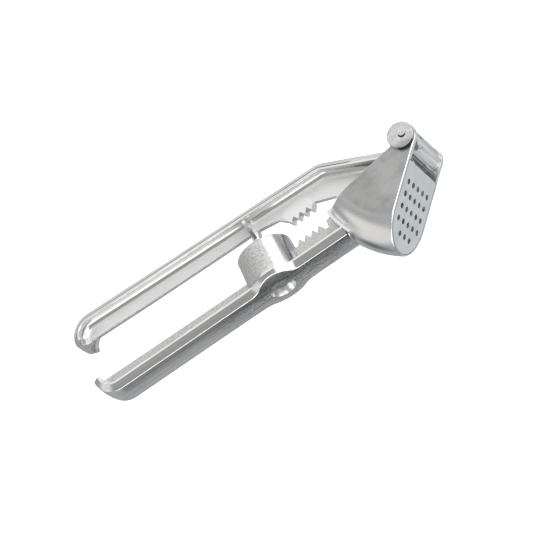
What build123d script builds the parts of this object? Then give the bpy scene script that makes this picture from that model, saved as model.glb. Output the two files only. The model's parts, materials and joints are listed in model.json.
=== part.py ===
"""Three-in-one garlic press: press hopper, nutcracker jaws and stone pitter.

Frame: +Z is the hinge axis, +X runs along the lower handle towards the hinge, and +Y runs
from the lower handle to the lever. The origin is on the hinge axis, on the outer face of
the cap of the pin, which is the face that the press lies on. Millimetres throughout.
"""
from build123d import *
from math import atan2, cos, degrees, radians, sin
import os

os.makedirs("parts", exist_ok=True)

# ---- hopper and hinge ------------------------------------------------------------------
hopper_width = 31.8          # outside, across the two side walls
hopper_centre_r = 30.5       # from the hinge to the centre of the round bottom
wall = 2.4                   # hopper and ear wall
edge_round = 0.6             # rounded edges of the walls and ears
mouth_y = 0.4                # the mouth edge of the walls crosses the hinge here
mouth_slope = 0.173          # and falls away from the hinge by this much per mm
mouth_length = 60.0          # longer than the walls, which end at the round bottom
ear_r = 6.2
ear_clearance = 1.0          # the space between the ears is this much wider than an ear
hub_r = 5.6
hub_gap = 0.2                # side play of the hub between the ears
collar_r = 44.9              # step where the arm meets the round bottom of the hopper
collar_half = 9.0
collar_start = 187.0         # directions of the two ends of the step, seen from the hinge
collar_end = 206.0
collar_depth = 12.0

# ---- hinge pin -------------------------------------------------------------------------
pin_r = 2.5
pin_play = 0.05
bore_play = 0.01             # the pin is held in the ears
head_r = 5.95
head_proud = 2.1             # the near head stands this proud of its ear
head_round = 0.5
cap_r = 5.2
cap_proud = 1.0              # and the far cap this proud of the other ear
cap_round = 0.4
pin_inset = 0.4              # the pin stops this far inside the face of the cap
crescent_r = 1.7
crescent_depth = 0.5

# ---- perforated plate ------------------------------------------------------------------
plate_angle = 225.65         # direction of the plate's face, away from the hinge
plate_offset = 6.0           # from the hinge axis to the plate's outer face
plate_thickness = 1.5
plate_top = 8.8              # from the foot of that offset to the plate's top edge
plate_rim = 1.0              # hopper wall left round the plate
plate_play = 0.3
hole_r = 1.25
first_row = 17.1
row_pitch = 5.3
column_pitch = 4.9
long_rows = 4                # rows of long_row holes, above one row of short_row holes
long_row = 5
short_row = 3

# ---- handles ---------------------------------------------------------------------------
handle_end_x = -169.5
flange_flat = 6.8            # half width of the outer face
flange_half = 8.9            # half width over the rims
crown = 0.5                  # the outer face bulges by this much
facet_height = 2.7           # slanted sides between the outer face and the rims
flange_thickness = 1.7
rim_height = 3.9
rim_width = 1.2
rim_slope = 0.8
section_round = 0.4
web = 2.5
web_root_r = 3.7
web_round = 0.5              # rounded free edge of the web
hook_r = 10.0
web_inset = 1.2              # the web ends this far inside the hook
lower_depth = 10.8           # outer face to the free edge of the web
lever_depth = 9.2
lip = 0.6                    # the lower web is this much deeper at the end of the hook
lower_y = -18.8              # outer face of the lower handle
lower_inner_x = -42.0
bend_x = -38.5               # the lever's outer face bends here, beside the hopper
bend_y = 17.6
bend_r = 9.0
lever_end_y = 21.6           # outer face of the lever where its hook starts
lever_hook_turn = 92.0
lever_root_x = -9.0
lever_root_y = 2.9

# ---- pitter cup and spike --------------------------------------------------------------
cup_x = -78.3
cup_top = 0.8
cup_r_top = 12.4
cup_r_base = 13.1
cup_wall = 2.0
cup_floor = 3.2
cup_corner = 3.0             # slanted corner between the cup's wall and floor
cup_edge_round = 0.5
boss_r = 11.0                # round widening of the outer face under the cup
boss_blend = 9.0             # radius that leads the handle's edges into it
boss_run = 14.0              # half length over which the widening is built
boss_proud = 0.02            # its faces stand this proud of those of the handle
boss_round = 0.35
stone_hole_r = 6.2
stone_hole_inner_r = 5.2
spike_r = 2.3
spike_tip_y = -12.0
spike_seat_y = 15.0
tang_r = 1.3                 # thinner end of the spike, held in the lever
spike_wall = 0.7             # metal of the lever round the tang
spike_boss_y = 6.6           # the lever's boss for the spike ends here
spike_chamfer = 0.8
cross_width = 1.0
cross_depth = 1.6
gusset = 1.5
gusset_half = 8.2            # half width of the gusset at the flange
gusset_y = 13.2              # where its slanted sides meet the flange

# ---- jaws ------------------------------------------------------------------------------
tooth_pitch = 3.4
tooth_count = 4
jaw = 4.6                    # thickness of the toothed pads
jaw_end_x = -66.0            # end of the pads towards the cup
lower_jaw_x = -50.0          # first tooth root of each row
lower_tip_y = -4.95
lower_root_y = -7.5
upper_jaw_x = -49.2
upper_tip_y = 3.55
upper_root_y = 5.9

# ---- plunger ---------------------------------------------------------------------------
close_angle = 5.0            # lever travel from the drawn pose to fully closed
plunger_gap = 0.35           # left in front of the perforated plate when closed
plunger_play = 0.35
plunger_thickness = 3.0
plunger_top = 9.5
plunger_end_gap = 0.3
cheek = 2.6
cheek_height = 9.0
cheek_chamfer = 2.0
cheek_start = 13.0           # distances along the plunger's face
cheek_end = 37.0
rivet_along = [18.0, 32.0]
rivet_depth = 4.0            # rivets behind the back of the plunger
rivet_r = 1.5
rivet_head_r = 2.5
rivet_head_top_r = 1.4
rivet_head = 1.0

# ---- values that follow from these -----------------------------------------------------
outer_r = hopper_width / 2
inner_r = outer_r - wall
cavity_r = hopper_centre_r + inner_r
mid_z = cap_proud + outer_r
top_z = mid_z + outer_r + head_proud
hub_half = inner_r - hub_gap
mid = Plane.XY.offset(mid_z)
facet_width = flange_half - flange_flat
facet_angle = degrees(atan2(facet_width, facet_height))
lower_edge_y = lower_y + lower_depth
lever_edge_y = lever_end_y - lever_depth
hook_x = handle_end_x + hook_r
plunger_angle = plate_angle - close_angle
plunger_offset = plate_offset - plate_thickness - plunger_gap
plunger_back = plunger_offset - plunger_thickness


def polar(radius, angle):
    """Point of the side view at a radius and an angle about the hinge."""
    return (radius * cos(radians(angle)), radius * sin(radians(angle)))


def face_plane(angle, offset):
    """Plane that holds the hinge direction and runs away from the hinge at an angle."""
    along = Vector(cos(radians(angle)), sin(radians(angle)), 0)
    normal = Vector(-along.Y, along.X, 0)
    return Plane(origin=normal * offset + Vector(0, 0, mid_z), x_dir=along, z_dir=normal)


def plunger_point(along, offset):
    """Point of the side view, along the plunger's face and off it towards the plate."""
    angle = radians(plunger_angle)
    return (along * cos(angle) - offset * sin(angle), along * sin(angle) + offset * cos(angle))


def d_outline(start, centre, radius):
    """Closed D: straight sides from start to centre, then a half circle."""
    Polyline((centre, radius), (start, radius), (start, -radius), (centre, -radius))
    CenterArc((centre, 0), radius, -90, 180)


def handle_outline(inward):
    """Closed section of a handle: crowned outer face, facets, rims and the root of its web."""
    half = [
        (flange_flat, 0),
        (flange_half, inward * facet_height),
        (flange_half, inward * rim_height),
        (flange_half - rim_width, inward * rim_height),
        (flange_half - rim_width - rim_slope, inward * flange_thickness),
        (web / 2, inward * flange_thickness),
        (web / 2, inward * (flange_thickness + web_root_r + section_round)),
    ]
    ThreePointArc((-flange_flat, 0), (0, -inward * crown), (flange_flat, 0))
    Polyline(half + [(-z, y) for z, y in reversed(half)])


def web_roots(corners):
    """Corners of a handle section where its web springs from the flange."""
    at_web = corners.filter_by(lambda corner: abs(abs(corner.X) - web / 2) < section_round)
    return at_web.filter_by(lambda corner: abs(corner.Y) < flange_thickness + section_round)


def outer_corners(corners):
    """Corners of a handle section on its facets and rims."""
    return corners.filter_by(lambda corner: abs(corner.X) > web)


def tooth_row(first_x, tip_y, root_y):
    """Saw teeth running towards -X from first_x, each one a root and a tip."""
    points = []
    for i in range(tooth_count):
        x = first_x - i * tooth_pitch
        points += [(x, root_y), (x - tooth_pitch / 2, tip_y)]
    points.append((first_x - tooth_count * tooth_pitch, root_y))
    return points


def long_edges(edges, x_from, x_to, y_from, y_to):
    """Edges of a web's two side faces whose middles lie in a box of the side view."""
    inside = edges.filter_by_position(Axis.X, x_from, x_to).filter_by_position(Axis.Y, y_from, y_to)
    return inside.filter_by(Axis.Z, reverse=True)


# ---- hopper handle: hooked handle, pitter cup, lower jaw and press hopper ---------------
plate_foot = Vector(*polar(plate_offset, plate_angle + 90), 0)
plate_end = plate_foot + Vector(*polar(mouth_length, plate_angle), 0)
hopper_outline = [
    (0, mouth_y),
    (-mouth_length, mouth_y - mouth_length * mouth_slope),
    (-mouth_length, plate_end.Y),
    (plate_end.X, plate_end.Y),
    (plate_foot.X, plate_foot.Y),
]
lower_web_outline = [
    (-43.0, lower_y + crown),
    (-43.0, -3.6),
    (-45.2, -3.5),
    (-47.9, -4.5),
    (-48.3, lower_root_y),
    (jaw_end_x, lower_root_y),
    (-90.0, lower_edge_y),
    (handle_end_x + web_inset, lower_edge_y + lip),
    (handle_end_x + web_inset, lower_y + hook_r * 0.8),
    (handle_end_x + hook_r * 0.4, lower_y + hook_r * 0.25),
    (hook_x, lower_y + crown),
]
lower_jaw_outline = tooth_row(lower_jaw_x, lower_tip_y, lower_root_y) + [
    (jaw_end_x, lower_root_y),
    (jaw_end_x, -13.7),
    (-52.0, -13.4),
    (-49.6, -12.4),
    (-48.6, -10.4),
]

with BuildPart() as hopper_handle:
    # the round-bottomed hopper and its ears are a D turned about the hinge, cut in side view
    with BuildSketch(face_plane(90, 0)) as hopper_section:
        with BuildLine():
            d_outline(0, hopper_centre_r, outer_r)
        make_face()
    revolve(axis=Axis.Z, revolution_arc=360)
    with BuildSketch(Plane.XY) as hopper_side:
        Polygon(*hopper_outline, align=None)
        Circle(ear_r)
    extrude(amount=top_z, mode=Mode.INTERSECT)
    # rounded edges along the mouth, along the plate and round the ears
    cut_faces = hopper_handle.faces().filter_by(GeomType.PLANE).filter_by(Axis.Z, reverse=True)
    cut_faces += hopper_handle.faces().filter_by(GeomType.CYLINDER)
    fillet(cut_faces.edges().filter_by(Axis.Z, reverse=True), radius=edge_round)
    # step where the arm meets the hopper
    with BuildSketch(mid) as collar_side:
        with BuildLine():
            CenterArc((0, 0), collar_r, collar_start, collar_end - collar_start)
            Line(polar(collar_r, collar_end), polar(collar_r - collar_depth, collar_end))
            CenterArc((0, 0), collar_r - collar_depth, collar_end, collar_start - collar_end)
            Line(polar(collar_r - collar_depth, collar_start), polar(collar_r, collar_start))
        make_face()
    extrude(amount=collar_half, both=True)
    # web of the handle, rounded along its free edge, and its thicker toothed jaw
    with BuildSketch(mid) as lower_web:
        Polygon(*lower_web_outline, align=None)
    extrude(amount=web / 2, both=True)
    fillet(long_edges(hopper_handle.edges(), -140, jaw_end_x, -9, 0), radius=web_round)
    with BuildSketch(mid) as lower_jaw:
        Polygon(*lower_jaw_outline, align=None)
    extrude(amount=jaw / 2, both=True)
    # the outer face widens into a round boss under the cup
    boss_strip = flange_flat - crown * facet_width / facet_height
    boss_y = lower_y - crown - boss_proud
    boss_start = Plane(origin=(cup_x, boss_y, mid_z), x_dir=(1, 0, 0), z_dir=(0, 1, 0))
    with BuildSketch(boss_start) as boss_face:
        Rectangle(boss_run * 2, (boss_strip + boss_proud) * 2)
        Circle(boss_r)
        fillet(boss_face.vertices().group_by(Axis.X)[1:-1], radius=boss_blend)
    extrude(amount=lower_y + facet_height - boss_y, taper=-facet_angle)
    boss_top = hopper_handle.faces().filter_by_position(
        Axis.Y, lower_y + facet_height - 0.01, lower_y + facet_height + 0.01
    )
    extrude(boss_top.sort_by(SortBy.AREA)[-1], amount=rim_height - facet_height - boss_proud)
    # its face carries on the bulge of the outer face
    crown_r = (flange_flat**2 + crown**2) / (2 * crown)
    with BuildSketch(Plane.YZ.offset(cup_x - boss_run - facet_width)) as crown_cut:
        with Locations((lower_y - boss_proud - crown + crown_r, mid_z)):
            Rectangle(crown_r * 2 + 1, crown_r, align=(Align.MAX, Align.CENTER))
            Circle(crown_r, mode=Mode.SUBTRACT)
    extrude(amount=2 * (boss_run + facet_width), mode=Mode.SUBTRACT)
    boss_outer = hopper_handle.faces().sort_by_distance(boss_start.origin)[0]
    boss_rim = boss_outer.edges().filter_by_position(Axis.X, cup_x - boss_run, cup_x + boss_run)
    fillet(boss_rim, radius=boss_round)
    # crowned section of the handle, along its outer face and round the hook
    with BuildLine() as lower_path:
        lower_run = Line((lower_inner_x, lower_y, mid_z), (hook_x, lower_y, mid_z))
        JernArc(lower_run @ 1, lower_run % 1, hook_r, -90)
    lower_start = Plane(origin=lower_run @ 0, x_dir=(0, 0, 1), z_dir=lower_run % 0)
    with BuildSketch(lower_start) as lower_section:
        with BuildLine():
            handle_outline(1)
        make_face()
        fillet(outer_corners(lower_section.vertices()), radius=section_round)
        fillet(web_roots(lower_section.vertices()), radius=web_root_r)
    sweep(path=lower_path.wire())
    # pitter cup
    with BuildSketch(mid) as cup_outside:
        cup_wall_side = Polygon(
            (cup_x, lower_y + facet_height),
            (cup_x + cup_r_base, lower_y + facet_height),
            (cup_x + cup_r_top, cup_top),
            (cup_x, cup_top),
            align=None,
        )
        fillet(cup_wall_side.vertices().sort_by(Axis.X)[-2], radius=cup_edge_round)
    revolve(axis=Axis((cup_x, 0, mid_z), (0, 1, 0)))
    with BuildSketch(mid) as cup_inside:
        Polygon(
            (cup_x, cup_top + cup_wall),
            (cup_x + cup_r_top - cup_wall, cup_top + cup_wall),
            (cup_x + cup_r_top - cup_wall, lower_y + cup_floor + cup_corner),
            (cup_x + cup_r_top - cup_wall - cup_corner, lower_y + cup_floor),
            (cup_x + stone_hole_inner_r, lower_y + cup_floor),
            (cup_x + stone_hole_r, lower_y),
            (cup_x + stone_hole_r, lower_y - cup_wall),
            (cup_x, lower_y - cup_wall),
            align=None,
        )
    revolve(axis=Axis((cup_x, 0, mid_z), (0, 1, 0)), mode=Mode.SUBTRACT)
    # hollow of the hopper, open at the mouth and behind the plate
    with BuildSketch(face_plane(160, 0)) as hopper_hollow:
        with BuildLine():
            d_outline(0, hopper_centre_r, inner_r)
        make_face()
    revolve(axis=Axis.Z, revolution_arc=165, mode=Mode.SUBTRACT)
    with BuildSketch(mid) as ear_gap:
        Circle(ear_r + ear_clearance)
    extrude(amount=inner_r, both=True, mode=Mode.SUBTRACT)
    # seat of the perforated plate
    with BuildSketch(face_plane(plate_angle, plate_offset)) as plate_seat:
        with BuildLine():
            d_outline(plate_top, hopper_centre_r, outer_r - plate_rim)
        make_face()
    extrude(amount=-plate_thickness, mode=Mode.SUBTRACT)
    # pin bores in the ears
    with BuildSketch(Plane.XY) as ear_bores:
        Circle(pin_r + bore_play)
    extrude(amount=top_z, mode=Mode.SUBTRACT)

hopper_handle.part.label = "hopper_handle"
export_step(hopper_handle.part, "parts/hopper_handle.step")

# ---- lever handle: hooked handle, gusset, upper jaw and hub -----------------------------
rivet_points = [plunger_point(along, plunger_back - rivet_depth) for along in rivet_along]
lever_web_outline = [
    plunger_point(2.0, plunger_back),
    (lever_root_x, lever_root_y),
    (bend_x - 1, bend_y - 1.6),
    (hook_x, lever_end_y - crown),
    (handle_end_x + hook_r * 0.4, lever_end_y - hook_r * 0.25),
    (handle_end_x + web_inset, lever_end_y - hook_r * 0.8),
    (handle_end_x + web_inset, lever_edge_y),
    (-134.0, 11.4),
    (-77.0, 10.4),
    (jaw_end_x, 9.0),
] + tooth_row(upper_jaw_x, upper_tip_y, upper_root_y)[::-1] + [
    (-48.6, 6.5),
    (-39.0, 2.8),
    polar(cavity_r - 3, 188),
    polar(cavity_r - 3, plunger_angle - 14),
    plunger_point(38.0, plunger_back),
]
upper_jaw_outline = tooth_row(upper_jaw_x, upper_tip_y, upper_root_y) + [
    (-64.0, 9.0),
    (-60.0, 11.5),
    (-51.0, 11.2),
    (-48.6, 8.6),
]

with BuildPart() as lever_handle:
    # web, with the arm that carries the plunger, rounded along its free edge; and the jaw
    with BuildSketch(mid) as lever_web:
        Polygon(*lever_web_outline, align=None)
    extrude(amount=web / 2, both=True)
    fillet(long_edges(lever_handle.edges(), -151, jaw_end_x, 9, 13), radius=web_round)
    with BuildSketch(mid) as upper_jaw:
        Polygon(*upper_jaw_outline, align=None)
    extrude(amount=jaw / 2, both=True)
    # gusset and boss of the pitting spike
    with BuildSketch(Plane.YZ.offset(cup_x)) as gusset_face:
        Polygon(
            (spike_seat_y, mid_z - gusset_half),
            (gusset_y, mid_z - gusset_half),
            (spike_boss_y, mid_z - web / 2),
            (spike_boss_y, mid_z + web / 2),
            (gusset_y, mid_z + gusset_half),
            (spike_seat_y, mid_z + gusset_half),
            align=None,
        )
    extrude(amount=gusset / 2, both=True)
    with BuildSketch(Plane.XZ.offset(-spike_boss_y)) as spike_boss:
        with Locations((cup_x, mid_z)):
            Circle(tang_r + spike_wall)
    extrude(amount=-(spike_seat_y + 1 - spike_boss_y))
    # crowned section along the outer face, round the bend and the hook
    with BuildLine() as lever_path:
        lever_line = FilletPolyline(
            (lever_root_x, lever_root_y, mid_z),
            (bend_x, bend_y, mid_z),
            (hook_x, lever_end_y, mid_z),
            radius=bend_r,
        )
        JernArc(lever_line @ 1, lever_line % 1, hook_r, lever_hook_turn)
    lever_start = Plane(origin=lever_line @ 0, x_dir=(0, 0, 1), z_dir=lever_line % 0)
    with BuildSketch(lever_start) as lever_section:
        with BuildLine():
            handle_outline(-1)
        make_face()
        fillet(outer_corners(lever_section.vertices()), radius=section_round)
        fillet(web_roots(lever_section.vertices()), radius=web_root_r)
    sweep(path=lever_path.wire())
    # hub round the pin
    with BuildSketch(mid) as hub_side:
        Circle(hub_r)
    extrude(amount=hub_half, both=True)
    with BuildSketch(mid) as hub_bore:
        Circle(pin_r + pin_play)
    extrude(amount=outer_r, both=True, mode=Mode.SUBTRACT)
    # hole of the pitting spike's tang
    with BuildSketch(Plane.XZ.offset(-spike_boss_y)) as spike_hole:
        with Locations((cup_x, mid_z)):
            Circle(tang_r)
    extrude(amount=-(spike_seat_y - spike_boss_y), mode=Mode.SUBTRACT)
    # rivet holes of the plunger
    with BuildSketch(mid) as web_rivet_holes:
        with Locations(rivet_points):
            Circle(rivet_r)
    extrude(amount=web, both=True, mode=Mode.SUBTRACT)

lever_handle.part.label = "lever_handle"
export_step(lever_handle.part, "parts/lever_handle.step")

# ---- perforated plate ------------------------------------------------------------------
with BuildPart() as sieve_plate:
    with BuildSketch(face_plane(plate_angle, plate_offset)) as plate_face:
        with BuildLine():
            d_outline(plate_top + plate_play, hopper_centre_r, outer_r - plate_rim - plate_play)
        make_face()
        with Locations((first_row + row_pitch * (long_rows - 1) / 2, 0)):
            with GridLocations(row_pitch, column_pitch, long_rows, long_row):
                Circle(hole_r, mode=Mode.SUBTRACT)
        with Locations((first_row + row_pitch * long_rows, 0)):
            with GridLocations(row_pitch, column_pitch, 1, short_row):
                Circle(hole_r, mode=Mode.SUBTRACT)
    extrude(amount=-plate_thickness)

sieve_plate.part.label = "sieve_plate"
export_step(sieve_plate.part, "parts/sieve_plate.step")

# ---- plunger ---------------------------------------------------------------------------
cheek_outline = [
    plunger_point(cheek_start, plunger_back + 0.5),
    plunger_point(cheek_start + cheek_chamfer, plunger_back - cheek_height + cheek_chamfer),
    plunger_point(cheek_start + 2 * cheek_chamfer, plunger_back - cheek_height),
    plunger_point(cheek_end - 2 * cheek_chamfer, plunger_back - cheek_height),
    plunger_point(cheek_end - cheek_chamfer, plunger_back - cheek_height + cheek_chamfer),
    plunger_point(cheek_end, plunger_back + 0.5),
]

with BuildPart() as plunger:
    with BuildSketch(face_plane(plunger_angle, plunger_offset)) as plunger_face:
        with BuildLine():
            d_outline(plunger_top, hopper_centre_r - plunger_end_gap, inner_r - plunger_play)
        make_face()
    extrude(amount=-plunger_thickness)
    with BuildSketch(mid.offset(-web / 2 - cheek)) as far_cheek:
        Polygon(*cheek_outline, align=None)
    extrude(amount=cheek)
    with BuildSketch(mid.offset(web / 2)) as near_cheek:
        Polygon(*cheek_outline, align=None)
    extrude(amount=cheek)
    with BuildSketch(mid) as cheek_rivet_holes:
        with Locations(rivet_points):
            Circle(rivet_r)
    extrude(amount=web / 2 + cheek, both=True, mode=Mode.SUBTRACT)

plunger.part.label = "plunger"
export_step(plunger.part, "parts/plunger.step")

# ---- rivets that hold the plunger on the lever's web ------------------------------------
rivet_grip = web / 2 + cheek

with BuildPart() as plunger_rivets:
    for x, y in rivet_points:
        rivet_plane = Plane(origin=(x, y, mid_z), x_dir=(1, 0, 0), z_dir=(0, -1, 0))
        with BuildSketch(rivet_plane) as rivet_half:
            Polygon(
                (0, -rivet_grip - rivet_head),
                (rivet_head_top_r, -rivet_grip - rivet_head),
                (rivet_head_r, -rivet_grip),
                (rivet_r, -rivet_grip),
                (rivet_r, rivet_grip),
                (rivet_head_r, rivet_grip),
                (rivet_head_top_r, rivet_grip + rivet_head),
                (0, rivet_grip + rivet_head),
                align=None,
            )
        revolve(axis=Axis((x, y, 0), (0, 0, 1)))

plunger_rivets.part.label = "plunger_rivets"
export_step(plunger_rivets.part, "parts/plunger_rivets.step")

# ---- hinge pin with its near head, and the cap pressed on its other end ------------------
near_ear_z = mid_z + outer_r

with BuildPart() as hinge_pin:
    with BuildSketch(Plane.XY.offset(near_ear_z)) as near_head:
        Circle(head_r)
    extrude(amount=head_proud)
    fillet(hinge_pin.faces().sort_by(Axis.Z)[-1].edges(), radius=head_round)
    with BuildSketch(Plane.XY.offset(pin_inset)) as shank:
        Circle(pin_r)
    extrude(amount=near_ear_z - pin_inset)
    # shallow crescent dimple in the near head
    with BuildSketch(Plane.XY.offset(top_z)) as crescent:
        with Locations((0.9, -0.3)):
            Circle(crescent_r)
        with Locations((1.2, 0.6)):
            Circle(crescent_r, mode=Mode.SUBTRACT)
    extrude(amount=-crescent_depth, mode=Mode.SUBTRACT)

hinge_pin.part.label = "hinge_pin"
export_step(hinge_pin.part, "parts/hinge_pin.step")

with BuildPart() as hinge_pin_cap:
    with BuildSketch(Plane.XY) as far_head:
        Circle(cap_r)
    extrude(amount=cap_proud)
    fillet(hinge_pin_cap.faces().sort_by(Axis.Z)[0].edges(), radius=cap_round)
    with BuildSketch(Plane.XY.offset(pin_inset)) as cap_bore:
        Circle(pin_r)
    extrude(amount=cap_proud, mode=Mode.SUBTRACT)

hinge_pin_cap.part.label = "hinge_pin_cap"
export_step(hinge_pin_cap.part, "parts/hinge_pin_cap.step")

# ---- pitting spike -----------------------------------------------------------------------
with BuildPart() as pitting_spike:
    with BuildSketch(Plane.XZ.offset(-spike_tip_y)) as spike_round:
        with Locations((cup_x, mid_z)):
            Circle(spike_r)
    extrude(amount=-(spike_boss_y - spike_tip_y))
    chamfer(pitting_spike.faces().sort_by(Axis.Y)[0].edges(), length=spike_chamfer)
    with BuildSketch(Plane.XZ.offset(-spike_boss_y)) as spike_tang:
        with Locations((cup_x, mid_z)):
            Circle(tang_r)
    extrude(amount=-(spike_seat_y - spike_boss_y))
    # cross cut in the tip that grips the stone
    with BuildSketch(Plane.XZ.offset(-spike_tip_y)) as tip_cross:
        with Locations((cup_x, mid_z)):
            Rectangle(spike_r * 3, cross_width)
            Rectangle(cross_width, spike_r * 3)
    extrude(amount=-cross_depth, mode=Mode.SUBTRACT)

pitting_spike.part.label = "pitting_spike"
export_step(pitting_spike.part, "parts/pitting_spike.step")
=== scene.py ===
"""Looks of the garlic press: cast, polished and satin aluminium on a pale studio floor."""
import json
import math

import bpy
from mathutils import Matrix, Vector


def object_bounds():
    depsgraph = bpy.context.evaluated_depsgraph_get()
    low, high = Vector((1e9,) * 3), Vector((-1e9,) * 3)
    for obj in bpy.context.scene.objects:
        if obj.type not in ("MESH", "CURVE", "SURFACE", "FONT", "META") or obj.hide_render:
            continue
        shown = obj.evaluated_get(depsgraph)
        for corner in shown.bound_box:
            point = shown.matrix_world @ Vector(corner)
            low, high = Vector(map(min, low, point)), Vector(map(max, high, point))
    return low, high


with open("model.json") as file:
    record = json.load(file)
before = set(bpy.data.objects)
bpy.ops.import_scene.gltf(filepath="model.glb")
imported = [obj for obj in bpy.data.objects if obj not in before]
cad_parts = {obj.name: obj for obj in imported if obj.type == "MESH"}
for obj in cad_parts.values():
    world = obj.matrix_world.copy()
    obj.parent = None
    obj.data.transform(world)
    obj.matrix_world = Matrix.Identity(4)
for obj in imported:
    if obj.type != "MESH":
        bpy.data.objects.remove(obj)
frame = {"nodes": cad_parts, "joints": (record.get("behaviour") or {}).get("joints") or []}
cad_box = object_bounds()

MM = 0.001
NODES = frame["nodes"]
MID_Z = frame["joints"][0]["pos_m"][2]      # plane half way between the pin heads
TOP_Z = cad_box[1][2]                       # outer face of the pin's head
CUP_X = -78.3 * MM
CUP_POLISH_X = -74.0 * MM                   # the cup is polished from here towards the jaws
PICTURE_PX = 533


# ---- node helpers ----------------------------------------------------------------------
class Graph:
    """A small wrapper that builds one node material."""

    def __init__(self, name):
        self.material = bpy.data.materials.new(name)
        self.material.use_nodes = True
        self.tree = self.material.node_tree
        self.tree.nodes.clear()
        self.output = self.tree.nodes.new("ShaderNodeOutputMaterial")
        self.coordinates = self.tree.nodes.new("ShaderNodeTexCoord")
        self.place = self.coordinates.outputs["Object"]
        self.normal = self.coordinates.outputs["Normal"]

    def node(self, kind, inputs=None, **settings):
        node = self.tree.nodes.new(kind)
        for key, value in settings.items():
            setattr(node, key, value)
        for key, value in (inputs or {}).items():
            self.put(node.inputs[key], value)
        return node

    def put(self, socket, value):
        if isinstance(value, bpy.types.NodeSocket):
            self.tree.links.new(value, socket)
        else:
            socket.default_value = value

    def math(self, operation, a, b=0.0):
        return self.node("ShaderNodeMath", {0: a, 1: b}, operation=operation).outputs[0]

    def axis(self, vector, index):
        return self.node("ShaderNodeSeparateXYZ", {0: vector}).outputs[index]

    def stretch(self, scale, turn=(0.0, 0.0, 0.0)):
        inputs = {"Vector": self.place, "Scale": scale, "Rotation": turn}
        return self.node("ShaderNodeMapping", inputs).outputs[0]

    def noise(self, vector, scale, detail=4.0, rough=0.5):
        inputs = {"Vector": vector, "Scale": scale, "Detail": detail, "Roughness": rough}
        return self.node("ShaderNodeTexNoise", inputs).outputs[0]

    def ramp(self, value, low, high, out_low=0.0, out_high=1.0):
        inputs = {0: value, 1: low, 2: high, 3: out_low, 4: out_high}
        return self.node("ShaderNodeMapRange", inputs, interpolation_type="SMOOTHSTEP").outputs[0]

    def mix(self, factor, a, b):
        node = self.node("ShaderNodeMix", data_type="FLOAT")
        self.put(node.inputs[0], factor)
        self.put(node.inputs[2], a)
        self.put(node.inputs[3], b)
        return node.outputs[0]

    def blend(self, factor, a, b):
        node = self.node("ShaderNodeMix", data_type="RGBA")
        self.put(node.inputs[0], factor)
        self.put(node.inputs[6], a)
        self.put(node.inputs[7], b)
        return node.outputs[2]

    def bump(self, height, distance):
        inputs = {"Height": height, "Distance": distance, "Strength": 1.0}
        return self.node("ShaderNodeBump", inputs).outputs[0]

    def metal(self, color, roughness, normal, bare=1.0):
        inputs = {"Base Color": color, "Roughness": roughness, "Normal": normal, "Metallic": bare}
        shader = self.node("ShaderNodeBsdfPrincipled", inputs)
        self.tree.links.new(shader.outputs[0], self.output.inputs["Surface"])
        return self.material


def grey(level, warm=0.0):
    return (level + warm, level, level - warm, 1.0)


# ---- materials -------------------------------------------------------------------------
def fine_streaks(g):
    """Polishing marks: noise drawn out along the handles."""
    return g.noise(g.stretch((5.0, 700.0, 700.0)), 1.0, 5.0, 0.6)


def sand_grain(g):
    """Skin of a sand casting: pits and lumps of about half a millimetre."""
    coarse = g.noise(g.place, 1100.0, 3.0, 0.7)
    fine = g.noise(g.place, 3600.0, 2.0, 0.5)
    return g.math("ADD", g.math("MULTIPLY", coarse, 0.6), g.math("MULTIPLY", fine, 0.4))


def offset_from_middle(g):
    """How far a point stands from the plane half way between the pin heads."""
    return g.math("ABSOLUTE", g.math("SUBTRACT", g.axis(g.place, 2), MID_Z))


def facing_sideways(g, low, high):
    """1 where the surface faces along the hinge, either way."""
    return g.ramp(g.math("ABSOLUTE", g.axis(g.normal, 2)), low, high)


def web_sides(g):
    """1 on the side faces of the webs and jaws, 0 on the flanges and the hopper."""
    inside = g.ramp(offset_from_middle(g), 3.0 * MM, 5.0 * MM, 1.0, 0.0)
    return g.math("MULTIPLY", facing_sideways(g, 0.86, 0.97), inside)


def lever_web(g):
    """The same for the lever, fading out towards its head, which is smoother."""
    before_head = g.ramp(g.axis(g.place, 0), -30 * MM, -22 * MM, 1.0, 0.0)
    return g.math("MULTIPLY", web_sides(g), before_head)


def trough(g):
    """1 in the channels of the lower handle, either side of its web."""
    upward = g.ramp(g.axis(g.normal, 1), 0.1, 0.5)
    low = g.ramp(g.axis(g.place, 1), -14.0 * MM, -13.0 * MM, 1.0, 0.0)
    inside = g.ramp(offset_from_middle(g), 7.4 * MM, 8.0 * MM, 1.0, 0.0)
    return g.math("MULTIPLY", upward, g.math("MULTIPLY", low, inside))


def lever_trough(g):
    """1 in the channels of the lever, where they face the lower handle."""
    downward = g.ramp(g.axis(g.normal, 1), -0.85, -0.72, 1.0, 0.0)
    high = g.ramp(g.axis(g.place, 1), 8.0 * MM, 9.0 * MM)
    inside = g.ramp(offset_from_middle(g), 7.4 * MM, 8.0 * MM, 1.0, 0.0)
    beside = g.ramp(offset_from_middle(g), 1.3 * MM, 1.6 * MM)
    before_hook = g.ramp(g.axis(g.place, 0), -161 * MM, -157 * MM)
    along = g.math("MULTIPLY", downward, before_hook)
    return g.math("MULTIPLY", g.math("MULTIPLY", along, high), g.math("MULTIPLY", inside, beside))


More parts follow.
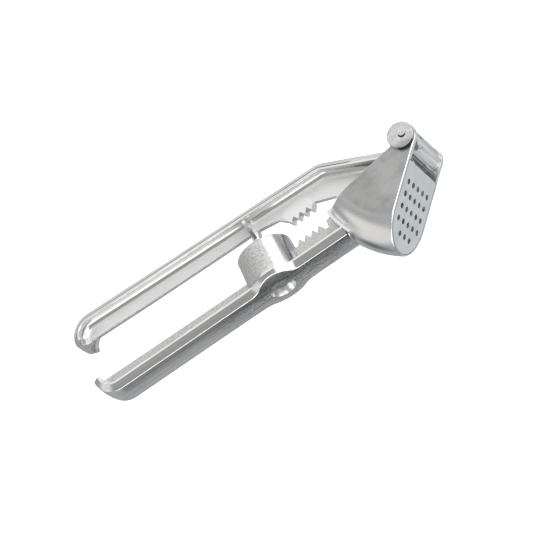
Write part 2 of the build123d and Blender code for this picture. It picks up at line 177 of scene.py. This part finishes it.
def cup_side(g):
    """1 on the cup's outside, away from the polished side that faces the jaws."""
    above = g.ramp(g.axis(g.place, 1), -15.5 * MM, -13.5 * MM)
    x = g.axis(g.place, 0)
    unpolished = g.ramp(x, CUP_POLISH_X - 0.6 * MM, CUP_POLISH_X + 0.6 * MM, 1.0, 0.0)
    cup = g.math("MULTIPLY", unpolished, g.ramp(x, CUP_X - 15 * MM, CUP_X - 13.5 * MM))
    outer = g.ramp(offset_from_middle(g), 1.6 * MM, 2.4 * MM)
    return g.math("MULTIPLY", g.math("MULTIPLY", above, outer), cup)


def cup_front(g):
    """1 on the polished side of the cup, which faces the jaws."""
    above = g.ramp(g.axis(g.place, 1), -15.5 * MM, -14.5 * MM)
    x = g.axis(g.place, 0)
    polished = g.ramp(x, CUP_POLISH_X - 0.6 * MM, CUP_POLISH_X + 0.6 * MM)
    cup = g.math("MULTIPLY", polished, g.ramp(x, -62 * MM, -60 * MM, 1.0, 0.0))
    outer = g.ramp(offset_from_middle(g), 1.6 * MM, 2.4 * MM)
    return g.math("MULTIPLY", g.math("MULTIPLY", above, outer), cup)


def hopper_walls(g):
    """1 on the flat side walls of the hopper and on the ears."""
    near_end = g.ramp(g.axis(g.place, 0), -47 * MM, -46 * MM)
    outer = g.ramp(offset_from_middle(g), 14.6 * MM, 15.6 * MM)
    side = facing_sideways(g, 0.90, 0.995)
    return g.math("MULTIPLY", g.math("MULTIPLY", near_end, outer), side)


def painted_shade_and_wear_face(g):
    """1 on the outer face of the lower handle between the cup and the hopper, fading out; painted
    shade and scuffs go here.
    """
    outer = g.ramp(g.axis(g.normal, 1), -0.98, -0.90, 1.0, 0.0)
    low = g.ramp(g.axis(g.place, 1), -17.5 * MM, -17.0 * MM, 1.0, 0.0)
    along = g.ramp(g.axis(g.place, 0), -125 * MM, -85 * MM, 0.25, 1.0)
    return g.math("MULTIPLY", g.math("MULTIPLY", outer, low), along)


def rim_shade_lines(g):
    """1 on two fine lines along the slanted sides of the lever's outer face, where painted shade
    goes.
    """
    offset = offset_from_middle(g)
    before = g.ramp(offset, 6.5 * MM, 6.8 * MM)
    beyond = g.ramp(offset, 6.9 * MM, 7.3 * MM, 1.0, 0.0)
    inner = g.math("MULTIPLY", before, beyond)
    outer = g.ramp(offset, 8.3 * MM, 8.6 * MM)
    outward = g.ramp(g.axis(g.normal, 1), 0.05, 0.25)
    high = g.ramp(g.axis(g.place, 1), 8.0 * MM, 9.0 * MM)
    return g.math("MULTIPLY", g.math("MAXIMUM", inner, outer), g.math("MULTIPLY", outward, high))


def hook_inside_shade(g):
    """1 on the inside of the hooked end of a handle, where painted shade goes."""
    end = g.ramp(g.axis(g.place, 0), -160 * MM, -156 * MM, 1.0, 0.0)
    return g.math("MULTIPLY", end, g.ramp(g.axis(g.normal, 0), 0.15, 0.6))


def barrel(g):
    """1 on the lever's hinge barrel."""
    x = g.axis(g.place, 0)
    y = g.axis(g.place, 1)
    squared = g.math("ADD", g.math("MULTIPLY", x, x), g.math("MULTIPLY", y, y))
    return g.ramp(g.math("SQRT", squared), 7.0 * MM, 7.6 * MM, 1.0, 0.0)


def casting_metal(name, rough_masks, skin, wall_mask=None, dark_mask=None, lever_mask=None):
    """Cast aluminium: outer faces polished, recesses and webs left with their sandy skin."""
    g = Graph(name)
    rough_part = rough_masks[0](g)
    for mask in rough_masks[1:]:
        rough_part = g.math("MAXIMUM", rough_part, mask(g))
    streaks = fine_streaks(g)
    grain = sand_grain(g)
    cloud = g.noise(g.place, 55.0, 4.0, 0.6)
    # polished skin: clouded, with marks along the handles that are weaker on the hopper
    even = g.ramp(g.axis(g.place, 0), -48 * MM, -44 * MM, 0.0, 0.75)
    marks = g.mix(even, g.ramp(streaks, 0.3, 0.7), 0.6)
    bright = g.blend(marks, grey(0.78), grey(0.97))
    bright = g.blend(g.ramp(cloud, 0.35, 0.65, 0.0, 0.35), bright, grey(0.70, -0.005))
    smooth = g.ramp(cloud, 0.3, 0.7, 0.13, 0.24)
    if dark_mask:
        # painted shade darkening the outer face, darkest on its half at higher z, with light
        # scuffs and long marks where it is handled
        scuffs = g.noise(g.stretch((60.0, 1200.0, 1200.0)), 1.0, 4.0, 0.7)
        scuffs = g.math("ADD", g.math("MULTIPLY", scuffs, 0.4), g.math("MULTIPLY", grain, 0.6))
        far = g.ramp(g.axis(g.place, 2), MID_Z - 6.0 * MM, MID_Z + 1.0 * MM, 1.0, 0.0)
        low = g.blend(far, grey(0.16, -0.004), grey(0.46, -0.004))
        scuffed_shade = g.blend(g.ramp(scuffs, 0.36, 0.64), low, grey(0.95, -0.004))
        bright = g.blend(dark_mask(g), bright, scuffed_shade)
        # painted reflection: dark streaks up and down the polished cup, on a darker tone
        reflection_streaks = g.noise(g.stretch((380.0, 14.0, 380.0)), 1.0, 3.0, 0.6)
        streaked_reflection = g.blend(g.ramp(reflection_streaks, 0.44, 0.62), grey(0.72), grey(0.40))
        bright = g.blend(cup_front(g), bright, streaked_reflection)
    if lever_mask:
        # painted highlights: lengthwise light and dark bands on the barrel, and dark blots
        # towards its end by the dimpled pin head
        bands = g.noise(g.stretch((420.0, 420.0, 14.0)), 1.0, 3.0, 0.6)
        painted_highlight_bands = g.blend(g.ramp(bands, 0.38, 0.60), grey(0.62, -0.004), grey(0.99, -0.002))
        blot = g.ramp(g.noise(g.stretch((260.0, 260.0, 110.0)), 1.0, 3.0, 0.6), 0.50, 0.56)
        end = g.ramp(g.axis(g.place, 2), MID_Z + 4.0 * MM, MID_Z + 8.0 * MM)
        painted_highlight_bands = g.blend(g.math("MULTIPLY", blot, end), painted_highlight_bands, grey(0.22))
        bright = g.blend(lever_mask(g), bright, painted_highlight_bands)
        # painted shade in fine lines beside the rims, and painted shade inside the hooked end
        bright = g.blend(rim_shade_lines(g), bright, grey(0.25))
        bright = g.blend(hook_inside_shade(g), bright, g.blend(marks, grey(0.34), grey(0.66)))
    # sandy skin
    darkest, lightest = skin["grey"]
    dull = g.blend(g.ramp(grain, 0.34, 0.66), grey(darkest, 0.003), grey(lightest, 0.003))
    sandy = g.ramp(grain, 0.35, 0.65, *skin["roughness"])
    color = g.blend(rough_part, bright, dull)
    roughness = g.mix(rough_part, smooth, sandy)
    mark_height = g.math("MULTIPLY", marks, 0.012)
    height = g.mix(rough_part, mark_height, g.math("MULTIPLY", grain, skin["grain"]))
    if wall_mask:
        # satin skin of the hopper's side walls
        wall = wall_mask(g)
        brushed = g.noise(g.stretch((160.0, 420.0, 160.0), (0.0, 0.0, 0.75)), 1.0, 5.0, 0.6)
        patches = g.math("ADD", g.math("MULTIPLY", cloud, 0.7), g.math("MULTIPLY", brushed, 0.3))
        satin = g.blend(g.ramp(patches, 0.38, 0.62), grey(0.34), grey(0.47))
        color = g.blend(wall, color, satin)
        roughness = g.mix(wall, roughness, g.ramp(brushed, 0.3, 0.7, 0.26, 0.38))
    bare = g.mix(rough_part, 1.0, skin["bare"])
    return g.metal(color, roughness, g.bump(height, 0.22 * MM), bare)


def satin_metal(name, dark, light, low, high, grain_height=0.02 * MM, tint=0.0):
    """Evenly dulled metal with faint clouding."""
    g = Graph(name)
    cloud = g.noise(g.place, 150.0, 4.0)
    grain = g.noise(g.place, 3000.0, 2.0)
    color = g.blend(g.ramp(cloud, 0.35, 0.65), grey(dark, tint), grey(light, tint))
    return g.metal(color, g.ramp(cloud, 0.3, 0.7, low, high), g.bump(grain, grain_height))


def rough_head_metal(name, dimpled=False):
    """Pin head as cast: sandy, with patchy painted shade towards its -Y side, and painted shade
    in its dimple if it has one.
    """
    g = Graph(name)
    grain = sand_grain(g)
    cloud = g.noise(g.place, 260.0, 3.0)
    light = g.blend(g.ramp(grain, 0.36, 0.64), grey(0.52), grey(0.84))
    # painted shade: patchy darkening towards the -Y side of the head
    edge = g.ramp(g.axis(g.place, 1), -5.5 * MM, -1.0 * MM, 0.75, 0.0)
    side_shade = g.math("MULTIPLY", g.ramp(cloud, 0.35, 0.6, 0.5, 1.0), edge)
    color = g.blend(side_shade, light, grey(0.30))
    if dimpled:
        # painted shade filling the dimple
        sunk = g.ramp(g.axis(g.place, 2), TOP_Z - 0.35 * MM, TOP_Z - 0.1 * MM, 1.0, 0.0)
        central = g.ramp(g.math("ABSOLUTE", g.axis(g.place, 0)), 3.5 * MM, 4.0 * MM, 1.0, 0.0)
        color = g.blend(g.math("MULTIPLY", sunk, central), color, grey(0.06))
    return g.metal(color, g.ramp(grain, 0.35, 0.65, 0.40, 0.55), g.bump(grain, 0.25 * MM))


# Sandy skins: darkest and lightest grey, least and greatest roughness, height of the
# grain, and share of bare metal.
LOWER_SKIN = {"grey": (0.46, 0.82), "roughness": (0.36, 0.52), "grain": 0.8, "bare": 0.75}
# The lever's skin greys are near white, far lighter than the lower handle's: painted light that
# brightens its webs, which get little lamp light.
LEVER_SKIN = {"grey": (0.86, 0.95), "roughness": (0.30, 0.42), "grain": 0.01, "bare": 0.55}
MATERIALS = {
    "hopper_handle": casting_metal(
        "lower_casting_metal",
        [web_sides, cup_side, trough],
        LOWER_SKIN,
        wall_mask=hopper_walls,
        dark_mask=painted_shade_and_wear_face,
    ),
    "lever_handle": casting_metal(
        "lever_casting_metal",
        [lever_web, lever_trough],
        LEVER_SKIN,
        lever_mask=barrel,
    ),
    "sieve_plate": satin_metal("plate_metal", 0.82, 0.90, 0.28, 0.36, tint=-0.01),
    "plunger": satin_metal("plunger_metal", 0.74, 0.84, 0.35, 0.5, 0.1 * MM),
    "plunger_rivets": satin_metal("rivet_metal", 0.56, 0.64, 0.25, 0.35),
    "hinge_pin": rough_head_metal("pin_metal", dimpled=True),
    "hinge_pin_cap": rough_head_metal("pin_cap_metal"),
    "pitting_spike": satin_metal("spike_metal", 0.56, 0.64, 0.2, 0.3),
}
for name, node in NODES.items():
    node.data.materials.clear()
    node.data.materials.append(MATERIALS[name])


# ---- floor and light ---------------------------------------------------------------------
def make_floor():
    """Plain white floor, level with the face that the press rests on."""
    mesh = bpy.data.meshes.new("floor")
    reach = 8.0
    corners = [(-reach, -reach, 0), (reach, -reach, 0), (reach, reach, 0), (-reach, reach, 0)]
    mesh.from_pydata(corners, [], [(0, 1, 2, 3)])
    floor = bpy.data.objects.new("floor", mesh)
    bpy.context.scene.collection.objects.link(floor)
    material = bpy.data.materials.new("floor_white")
    material.use_nodes = True
    shader = material.node_tree.nodes["Principled BSDF"]
    shader.inputs["Base Color"].default_value = (0.93, 0.93, 0.93, 1.0)
    shader.inputs["Roughness"].default_value = 0.9
    shader.inputs["Emission Color"].default_value = (1.0, 1.0, 1.0, 1.0)
    shader.inputs["Emission Strength"].default_value = 0.65
    mesh.materials.append(material)
    floor.visible_glossy = False


def area_light(name, place, aim, size, power):
    data = bpy.data.lights.new(name, "AREA")
    data.shape = "RECTANGLE"
    data.size, data.size_y = size
    data.energy = power
    light = bpy.data.objects.new(name, data)
    light.location = place
    direction = Vector(aim) - Vector(place)
    light.rotation_euler = direction.to_track_quat("-Z", "Y").to_euler()
    bpy.context.scene.collection.objects.link(light)


# Each patch of the surroundings: direction, colour, cosines where it starts and is full.
SURROUNDINGS = [
    ((0.50, -0.19, -0.85), (0.60, 0.635, 0.65), 0.75, 0.95),
    ((0.70, 0.49, -0.52), (0.52, 0.55, 0.60), 0.80, 0.96),
    ((-0.45, 0.29, -0.85), (0.37, 0.40, 0.41), 0.80, 0.95),
    ((-0.20, 0.94, -0.27), (0.72, 0.72, 0.71), 0.70, 0.95),
    ((-0.71, 0.35, 0.61), (0.42, 0.42, 0.42), 0.80, 0.95),
    ((-0.20, 0.49, 0.85), (0.92, 0.92, 0.91), 0.84, 0.96),
    ((-0.20, -0.72, 0.66), (0.34, 0.34, 0.33), 0.72, 0.93),
    ((-0.20, -0.72, -0.67), (0.19, 0.195, 0.195), 0.965, 1.0),
    ((-0.20, -0.97, 0.00), (1.60, 1.60, 1.58), 0.87, 0.95),
    ((-0.97, -0.15, 0.16), (0.82, 0.80, 0.77), 0.83, 0.94),
    ((-0.93, 0.36, -0.08), (0.34, 0.36, 0.37), 0.88, 0.98),
    ((-0.82, -0.10, -0.57), (0.12, 0.13, 0.14), 0.97, 0.998),
    ((0.74, -0.45, 0.47), (2.00, 2.00, 2.00), 0.76, 0.92),
    ((0.63, 0.49, 0.60), (0.80, 0.80, 0.82), 0.80, 0.95),
]


def make_world():
    """Soft studio surroundings: grey above and below, with lighter and darker patches."""
    world = bpy.data.worlds.new("studio")
    bpy.context.scene.world = world
    world.use_nodes = True
    tree = world.node_tree
    direction = tree.nodes.new("ShaderNodeTexCoord").outputs["Generated"]
    split = tree.nodes.new("ShaderNodeSeparateXYZ")
    tree.links.new(direction, split.inputs[0])
    height = tree.nodes.new("ShaderNodeMapRange")
    height.data_type = "FLOAT_VECTOR"
    height.interpolation_type = "SMOOTHSTEP"
    rise = tree.nodes.new("ShaderNodeCombineXYZ")
    for socket in rise.inputs:
        tree.links.new(split.outputs[2], socket)
    tree.links.new(rise.outputs[0], height.inputs["Vector"])
    height.inputs[7].default_value = (-0.3, -0.3, -0.3)
    height.inputs[8].default_value = (0.3, 0.3, 0.3)
    height.inputs[9].default_value = (0.42, 0.43, 0.435)
    height.inputs[10].default_value = (0.48, 0.48, 0.48)
    total = height.outputs["Vector"]
    for aim, color, start, full in SURROUNDINGS:
        dot = tree.nodes.new("ShaderNodeVectorMath")
        dot.operation = "DOT_PRODUCT"
        tree.links.new(direction, dot.inputs[0])
        dot.inputs[1].default_value = Vector(aim).normalized()
        share = tree.nodes.new("ShaderNodeMapRange")
        share.interpolation_type = "SMOOTHSTEP"
        tree.links.new(dot.outputs["Value"], share.inputs[0])
        share.inputs[1].default_value = start
        share.inputs[2].default_value = full
        patch = tree.nodes.new("ShaderNodeMix")
        patch.data_type = "RGBA"
        tree.links.new(share.outputs[0], patch.inputs[0])
        tree.links.new(total, patch.inputs[6])
        patch.inputs[7].default_value = (*color, 1.0)
        total = patch.outputs[2]
    tree.links.new(total, tree.nodes["Background"].inputs["Color"])


# ---- camera ------------------------------------------------------------------------------
def make_camera():
    """Long lens above and in front of the press, rolled so that the handles slope up."""
    azimuth, elevation, roll = math.radians(22.17), math.radians(57.75), math.radians(-53.43)
    lens_px = 2720.75
    distance = 1.1523
    target = Vector((-0.08035, -0.00572, MID_Z))
    back = Vector((
        math.sin(azimuth) * math.cos(elevation),
        -math.cos(azimuth) * math.cos(elevation),
        math.sin(elevation),
    ))
    level = Vector((math.cos(azimuth), math.sin(azimuth), 0.0))
    rise = back.cross(level)
    right = math.cos(roll) * level + math.sin(roll) * rise
    up = back.cross(right)
    data = bpy.data.cameras.new("camera")
    data.sensor_width = 36.0
    data.lens = data.sensor_width * lens_px / PICTURE_PX
    data.clip_end = 20.0
    camera = bpy.data.objects.new("camera", data)
    place = target + distance * back
    camera.matrix_world = Matrix((
        (right.x, up.x, back.x, place.x),
        (right.y, up.y, back.y, place.y),
        (right.z, up.z, back.z, place.z),
        (0.0, 0.0, 0.0, 1.0),
    ))
    bpy.context.scene.collection.objects.link(camera)
    bpy.context.scene.camera = camera


make_floor()
make_world()
make_camera()
bpy.context.scene.view_settings.view_transform = "Standard"
middle = (-0.08, 0, MID_Z)
area_light("key", (0.62, 0.54, 0.66), middle, (0.8, 0.8), 2.0)
area_light("top", (0.08, -0.05, 1.1), middle, (0.5, 0.5), 1.2)
area_light("front", (-0.33, -1.15, 0.24), middle, (1.3, 0.42), 4.0)
